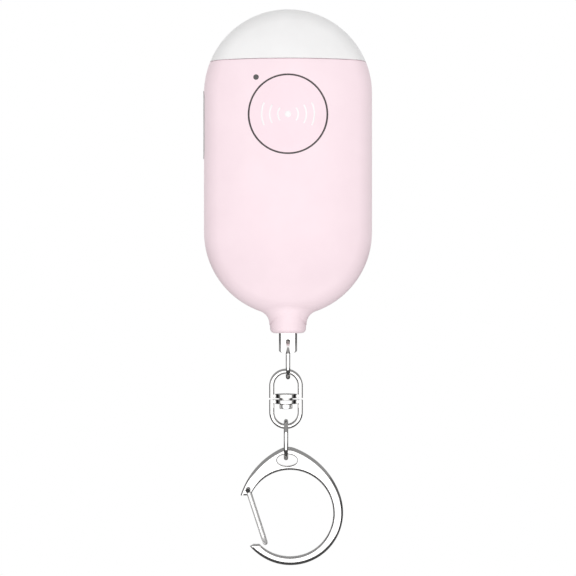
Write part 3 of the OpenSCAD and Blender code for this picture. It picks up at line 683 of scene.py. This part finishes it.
def drill(pieces, centre, radius, aim=(0, 0, 0)):
    """Cuts one round hole through some pieces."""
    bpy.ops.object.select_all(action="DESELECT")
    bpy.ops.mesh.primitive_cylinder_add(
        vertices=drill_sides, radius=radius, depth=drill_length, location=centre, rotation=aim,
    )
    bit = bpy.context.object
    for piece in pieces:
        cut = piece.modifiers.new("hole", "BOOLEAN")
        cut.operation = "DIFFERENCE"
        cut.object = bit
        pick(piece)
        bpy.ops.object.modifier_apply(modifier="hole")
    pick(bit)
    bpy.ops.object.delete()


def finish_turned(piece):
    smooth(piece, turned_angle)
    weigh(piece)


def swivel_foot(centre, hole_r):
    """Cross bar and round disc with the rivet's hole through both."""
    bpy.ops.object.select_all(action="DESELECT")
    bpy.ops.mesh.primitive_cube_add(size=1, location=centre, scale=swivel_bar)
    bar = bpy.context.object
    settle(bar, "swivel_bar")
    edit(bar)
    bpy.ops.mesh.select_all(action="SELECT")
    bpy.ops.mesh.bevel(offset=swivel_bar_edge, segments=edge_segments, affect="EDGES")
    done()
    disc = turned_disc("swivel_disc", centre, swivel_disc_r, swivel_bar[2], swivel_disc_edge)
    drill([bar, disc], centre, hole_r)
    dress(bar, chain_steel)
    # The disc carries painted shade where it runs close to the wires
    dress(disc, joint_steel_painted_shade)
    return [bar, disc]


def make_swivel(node, up):
    """One half of the swivel: its loop points up or down, and its foot meets the other half's."""
    low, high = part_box(node)
    tip_z = high[2] if up > 0 else low[2]
    foot_z = low[2] if up > 0 else high[2]
    bend_r = (high[0] - low[0]) / 2 - swivel_wire_r
    middle_x = (low[0] + high[0]) / 2
    middle = (middle_x, mid_y, tip_z - up * (bend_r + swivel_wire_r))
    pieces = [swivel_loop(middle, bend_r, foot_z, up)]
    pieces += swivel_foot((middle_x, mid_y, foot_z + up * swivel_bar[2] / 2), rivet_hole_r[node])
    swivel = join(pieces)
    settle(swivel, node + "_wire")
    finish_turned(swivel)
    stand_for(swivel, node)


def make_rivet():
    """Rivet with its head under the lower disc."""
    head_top = lower_half_top - swivel_bar[2] - rivet_head_gap
    head_centre = (joint_x, mid_y, head_top - rivet_head_h / 2)
    head = turned_disc("rivet_head", head_centre, rivet_head_r, rivet_head_h, rivet_head_edge)
    shank_h = rivet_top - head_top + rivet_shank_root
    shank_r = rivet_hole_r["swivel_upper"]
    shank_centre = (joint_x, mid_y, rivet_top - shank_h / 2)
    shank = turned_disc("rivet_shank", shank_centre, shank_r, shank_h, rivet_shank_edge)
    rivet = join([head, shank])
    settle(rivet, "swivel_rivet_turned")
    finish_turned(rivet)
    stand_for(rivet, "swivel_rivet")


def make_washer():
    """Washer between the swivel's two discs."""
    centre = (joint_x, mid_y, (swivel_low[2] + lower_half_top) / 2)
    washer = turned_disc("swivel_washer", centre, washer_r, washer_h, washer_edge)
    drill([washer], centre, rivet_hole_r["swivel_lower"])
    finish_turned(washer)
    dress(washer, chain_steel)
    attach(washer, body_of["swivel_upper"])


def make_pin_bushes():
    """Thin rings that line both mouths of the pin's cross hole."""
    link_low, link_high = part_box("upper_link")
    eye_z = link_high[2] - (link_high[0] - link_low[0]) / 2
    for side, name in ((-1, "front_pin_bush"), (1, "rear_pin_bush")):
        centre = (0, mid_y + side * (pin_flat - bush_t / 2 - bush_sunk), eye_z)
        bush = turned_disc(name, centre, bush_out_r, bush_t, bush_edge, face_front)
        drill([bush], centre, bush_in_r, face_front)
        finish_turned(bush)
        dress(bush, pin_steel)
        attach(bush, body_of["pull_pin"])


def make_pivot_head():
    """End of the pin that the gate turns on, coloured near black as painted shade of the pivot's hole."""
    centre = (hook_x + gate_hole_place[0], gate_front, hook_z + gate_hole_place[1])
    head = turned_disc("gate_pivot_head", centre, pivot_head_r, pivot_head_h, pivot_head_edge, face_front)
    finish_turned(head)
    dress(head, painted_shade_steel)
    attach(head, body_of["hook_gate"])


make_link("upper_link")
make_link("lower_link")
make_swivel("swivel_upper", 1)
make_swivel("swivel_lower", -1)
make_rivet()
make_washer()
make_pin_bushes()
make_pivot_head()


# Hook
def hook_rounding(x, z):
    """Radius of the hook's edge rounding, by where the edge lies."""
    across = x - hook_x
    up = z - hook_z
    out = math.hypot(across, up) - hook_opening_r
    from_gate = math.hypot(across - gate_hole_place[0], up - gate_hole_place[1])
    eye_across = abs(across - eye_place[0])
    eye_up = abs(up - eye_place[1])
    if from_gate < gate_hole_r + edge_reach:
        return gate_hole_edge
    if from_gate < gate_end_reach and out > nose_out and up > nose_up:
        return hook_nose_edge
    if from_gate < gate_end_reach or (across < tip_across and tip_up[0] < up < tip_up[1]):
        return hook_end_edge
    if abs(out) < edge_reach:
        return hook_edge if up < inner_edge_up else hook_inner_edge
    if eye_across < eye_half[0] + edge_reach and eye_up < eye_half[1] + edge_reach:
        return hook_eye_edge
    return hook_top_edge if up > top_edge_up else hook_edge


def front_loops(piece):
    """Closed loops of places round a piece's front face, with the metal on their left."""
    mesh = piece.data
    front = [face for face in mesh.polygons if face.normal.y < -square_share]
    uses = {}
    for face in front:
        for edge in face.edge_keys:
            uses[edge] = uses.get(edge, 0) + 1
    after = {}
    for face in front:
        corners = list(face.vertices)
        for start, stop in zip(corners, corners[1:] + corners[:1]):
            if uses[(min(start, stop), max(start, stop))] == 1:
                after[start] = stop
    loops = []
    while after:
        start = next(iter(after))
        loop = []
        while start in after:
            loop.append(Vector((mesh.vertices[start].co.x, mesh.vertices[start].co.z)))
            start = after.pop(start)
        loops.append(loop)
    return loops


def oval_eye(loop):
    """The eye's loop, drawn as an ellipse; any other loop as it is."""
    middle = sum(loop, Vector((0, 0))) / len(loop)
    eye = Vector((hook_x + eye_place[0], hook_z + eye_place[1]))
    if (middle - eye).length > eye_reach:
        return loop
    turns = [-2 * math.pi * i / eye_sides for i in range(eye_sides)]
    return [eye + Vector((eye_half[0] * math.cos(a), eye_half[1] * math.sin(a))) for a in turns]


def inward(loop, index):
    """Step into the metal at a corner of a loop that keeps one unit from both its edges."""
    here = loop[index]
    first = (here - loop[index - 1]).normalized()
    second = (loop[(index + 1) % len(loop)] - here).normalized()
    left = Vector((-first.y, first.x))
    next_left = Vector((-second.y, second.x))
    return (left + next_left) / max(1 + left.dot(next_left), sharpest_corner)


def evened(values):
    """Values round a loop, each made the mean of itself and its two neighbours."""
    count = len(values)
    return [(values[i - 1] + values[i] + values[(i + 1) % count]) / 3 for i in range(count)]


def close_face(piece, face_y):
    """Fills the flat face between the edges that lie at one depth."""
    edit(piece)
    bpy.ops.mesh.select_mode(type="EDGE")
    bpy.ops.mesh.select_all(action="DESELECT")
    done()
    for edge in piece.data.edges:
        ends = [piece.data.vertices[index].co.y for index in edge.vertices]
        edge.select = max(abs(end - face_y) for end in ends) < plane_reach
    bpy.ops.object.mode_set(mode="EDIT")
    bpy.ops.mesh.fill()
    bpy.ops.mesh.select_all(action="SELECT")
    bpy.ops.mesh.normals_make_consistent(inside=False)
    done()


def make_hook():
    """Hook with rounded edges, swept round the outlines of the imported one."""
    flat = joined_copy("hook_frame", merge_reach)
    loops = [oval_eye(loop) for loop in front_loops(flat)]
    pick(flat)
    bpy.ops.object.delete()
    near_y = hook_low[1]
    far_y = hook_high[1]
    steps = [(near_y, 1, k) for k in range(hook_edge_steps, -1, -1)]
    steps += [(far_y, -1, k) for k in range(hook_edge_steps + 1)]
    places = []
    faces = []
    for loop in loops:
        count = len(loop)
        rounding = [hook_rounding(place.x, place.y) for place in loop]
        for _ in range(hook_blend_passes):
            rounding = evened(rounding)
        first = len(places)
        for face_y, depth, k in steps:
            turn = math.pi / 2 * k / hook_edge_steps
            for i, place in enumerate(loop):
                inset = place + inward(loop, i) * rounding[i] * (1 - math.cos(turn))
                y = face_y + depth * rounding[i] * (1 - math.sin(turn))
                places.append((inset.x, y, inset.y))
        for row in range(len(steps) - 1):
            here = first + row * count
            for i in range(count):
                after = (i + 1) % count
                faces.append((here + i, here + after, here + count + after, here + count + i))
    hook = bpy.data.objects.new("hook_frame_rounded", bpy.data.meshes.new("hook_frame_rounded"))
    hook.data.from_pydata(places, [], faces)
    bpy.context.scene.collection.objects.link(hook)
    close_face(hook, near_y)
    close_face(hook, far_y)
    finish_turned(hook)
    stand_for(hook, "hook_frame")


make_hook()


# Emblem
def button_drop(x, z):
    """How far the button's face lies behind the foremost line of the casing."""
    crown = crown_r - math.sqrt(crown_r ** 2 - x ** 2 - max(z - end_z, 0) ** 2)
    reach = math.hypot(x, z - button_z)
    dish = dish_depth - dish_sphere_r + math.sqrt(dish_sphere_r ** 2 - reach ** 2)
    return max(crown, dish)


def emblem_ball(place, radius):
    bpy.ops.object.select_all(action="DESELECT")
    bpy.ops.mesh.primitive_uv_sphere_add(
        segments=emblem_ball_segments, ring_count=emblem_ball_rings, radius=radius,
        location=place, rotation=face_front,
    )
    ball = bpy.context.object
    settle(ball, "emblem_ball")
    return ball


def emblem_arc(side, radius, half_angle):
    """Arc of round stroke with round ends, facing the front, on one side of the centre."""
    centre = (0, front_y, button_z)
    bpy.ops.object.select_all(action="DESELECT")
    bpy.ops.mesh.primitive_torus_add(
        major_segments=emblem_arc_segments, minor_segments=emblem_stroke_segments,
        major_radius=radius, minor_radius=emblem_stroke / 2, location=centre, rotation=face_front,
    )
    arc = bpy.context.object
    settle(arc, "emblem_arc")
    edit(arc)
    sine = math.sin(math.radians(half_angle))
    cosine = math.cos(math.radians(half_angle))
    for up in (-1, 1):
        bpy.ops.mesh.select_all(action="SELECT")
        bpy.ops.mesh.bisect(
            plane_co=centre, plane_no=(-side * sine, 0, up * cosine), clear_outer=True,
        )
    done()
    ends = [
        emblem_ball((side * radius * cosine, front_y, button_z + up * radius * sine), emblem_stroke / 2)
        for up in (-1, 1)
    ]
    return join([arc] + ends)


def make_emblem():
    strokes = [emblem_ball((0, front_y, button_z), emblem_dot_r)]
    for side in (-1, 1):
        for radius, half_angle in emblem_arcs:
            strokes.append(emblem_arc(side, radius, half_angle))
    emblem = join(strokes)
    settle(emblem, "button_emblem")
    for corner in emblem.data.vertices:
        rise = (corner.co.y - front_y) * emblem_flatness
        corner.co.y = front_y + button_drop(corner.co.x, corner.co.z) + rise
    smooth(emblem, emblem_angle)
    dress(emblem, emblem_ink)
    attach(emblem, "button")


make_emblem()


# Stage: world, floor, reflection cards, lamp and camera
def seen_factor(tree):
    """One for rays that show the background, nought for rays that only light."""
    path = tree.nodes.new("ShaderNodeLightPath")
    first = tree.nodes.new("ShaderNodeMath")
    first.operation = "MAXIMUM"
    second = tree.nodes.new("ShaderNodeMath")
    second.operation = "MAXIMUM"
    tree.links.new(path.outputs["Is Camera Ray"], first.inputs[0])
    tree.links.new(path.outputs["Is Glossy Ray"], first.inputs[1])
    tree.links.new(first.outputs[0], second.inputs[0])
    tree.links.new(path.outputs["Is Transmission Ray"], second.inputs[1])
    return second.outputs[0]


def make_world():
    """White where it is seen, and a plain level of light where it only lights."""
    world = bpy.data.worlds.new("studio")
    bpy.context.scene.world = world
    world.use_nodes = True
    tree = world.node_tree
    tree.nodes.clear()
    light = tree.nodes.new("ShaderNodeBackground")
    light.inputs["Strength"].default_value = world_light
    light.inputs["Color"].default_value = white
    shown = tree.nodes.new("ShaderNodeBackground")
    shown.inputs["Strength"].default_value = 1
    shown.inputs["Color"].default_value = white
    mix = tree.nodes.new("ShaderNodeMixShader")
    output = tree.nodes.new("ShaderNodeOutputWorld")
    tree.links.new(seen_factor(tree), mix.inputs["Fac"])
    tree.links.new(light.outputs[0], mix.inputs[1])
    tree.links.new(shown.outputs[0], mix.inputs[2])
    tree.links.new(mix.outputs[0], output.inputs["Surface"])


def make_floor():
    """Pale floor that shows shadows from above and is clear from below."""
    bpy.ops.object.select_all(action="DESELECT")
    bpy.ops.mesh.primitive_plane_add(size=floor_size, location=(0, 0, floor_z))
    floor = bpy.context.object
    settle(floor, "studio_floor")
    material = bpy.data.materials.new("pale_floor")
    material.use_nodes = True
    tree = material.node_tree
    tree.nodes.clear()
    lit = tree.nodes.new("ShaderNodeBsdfDiffuse")
    lit.inputs["Color"].default_value = floor_colour
    glow = tree.nodes.new("ShaderNodeEmission")
    glow.inputs["Color"].default_value = white
    glow.inputs["Strength"].default_value = floor_glow
    share = tree.nodes.new("ShaderNodeMath")
    share.operation = "MULTIPLY"
    share.inputs[1].default_value = floor_glow_share
    mix = tree.nodes.new("ShaderNodeMixShader")
    clear = tree.nodes.new("ShaderNodeBsdfTransparent")
    side = tree.nodes.new("ShaderNodeNewGeometry")
    below = tree.nodes.new("ShaderNodeMixShader")
    output = tree.nodes.new("ShaderNodeOutputMaterial")
    tree.links.new(seen_factor(tree), share.inputs[0])
    tree.links.new(share.outputs[0], mix.inputs["Fac"])
    tree.links.new(lit.outputs[0], mix.inputs[1])
    tree.links.new(glow.outputs[0], mix.inputs[2])
    tree.links.new(side.outputs["Backfacing"], below.inputs["Fac"])
    tree.links.new(mix.outputs[0], below.inputs[1])
    tree.links.new(clear.outputs[0], below.inputs[2])
    tree.links.new(below.outputs[0], output.inputs["Surface"])
    dress(floor, material)


def make_card(name, corners, level):
    """Dark card that only shows as a reflection in polished metal."""
    card = bpy.data.objects.new(name, bpy.data.meshes.new(name))
    card.data.from_pydata(corners, [], [(0, 1, 2, 3)])
    bpy.context.scene.collection.objects.link(card)
    material = bpy.data.materials.new(name)
    material.use_nodes = True
    tree = material.node_tree
    tree.nodes.clear()
    glow = tree.nodes.new("ShaderNodeEmission")
    glow.inputs["Color"].default_value = (level, level, level, 1)
    output = tree.nodes.new("ShaderNodeOutputMaterial")
    tree.links.new(glow.outputs[0], output.inputs["Surface"])
    card.data.materials.append(material)
    card.visible_camera = False
    card.visible_diffuse = False
    card.visible_transmission = False
    card.visible_shadow = False


def make_cards():
    for band, low_z, high_z, near_y, level in upright_cards:
        for x, side_name in ((-card_x, "left"), (card_x, "right")):
            near = [(x, near_y, high_z), (x, near_y, low_z)]
            far = [(x, card_far_y, low_z), (x, card_far_y, high_z)]
            make_card(side_name + "_" + band + "_card", near + far, level)
    for name, near_y, far_y, z, half_w, level in level_cards:
        near = [(-half_w, near_y, z), (half_w, near_y, z)]
        far = [(half_w, far_y, z), (-half_w, far_y, z)]
        make_card(name, near + far, level)


def make_lamp():
    """Square soft lamp in front, whose face has a set brightness."""
    data = bpy.data.lights.new("front_lamp", "AREA")
    data.shape = "SQUARE"
    data.size = lamp_size
    data.energy = lamp_radiance * math.pi * lamp_size * lamp_size
    lamp = bpy.data.objects.new("front_lamp", data)
    lamp.location = lamp_place
    lamp.rotation_euler = face_front
    bpy.context.scene.collection.objects.link(lamp)


def make_camera():
    data = bpy.data.cameras.new("camera")
    data.lens = camera_lens
    data.sensor_width = camera_sensor
    camera = bpy.data.objects.new("camera", data)
    camera.location = camera_place
    camera.rotation_euler = face_front
    bpy.context.scene.collection.objects.link(camera)
    bpy.context.scene.camera = camera


bpy.context.scene.view_settings.view_transform = "Standard"
make_world()
make_floor()
make_lamp()
make_cards()
make_camera()
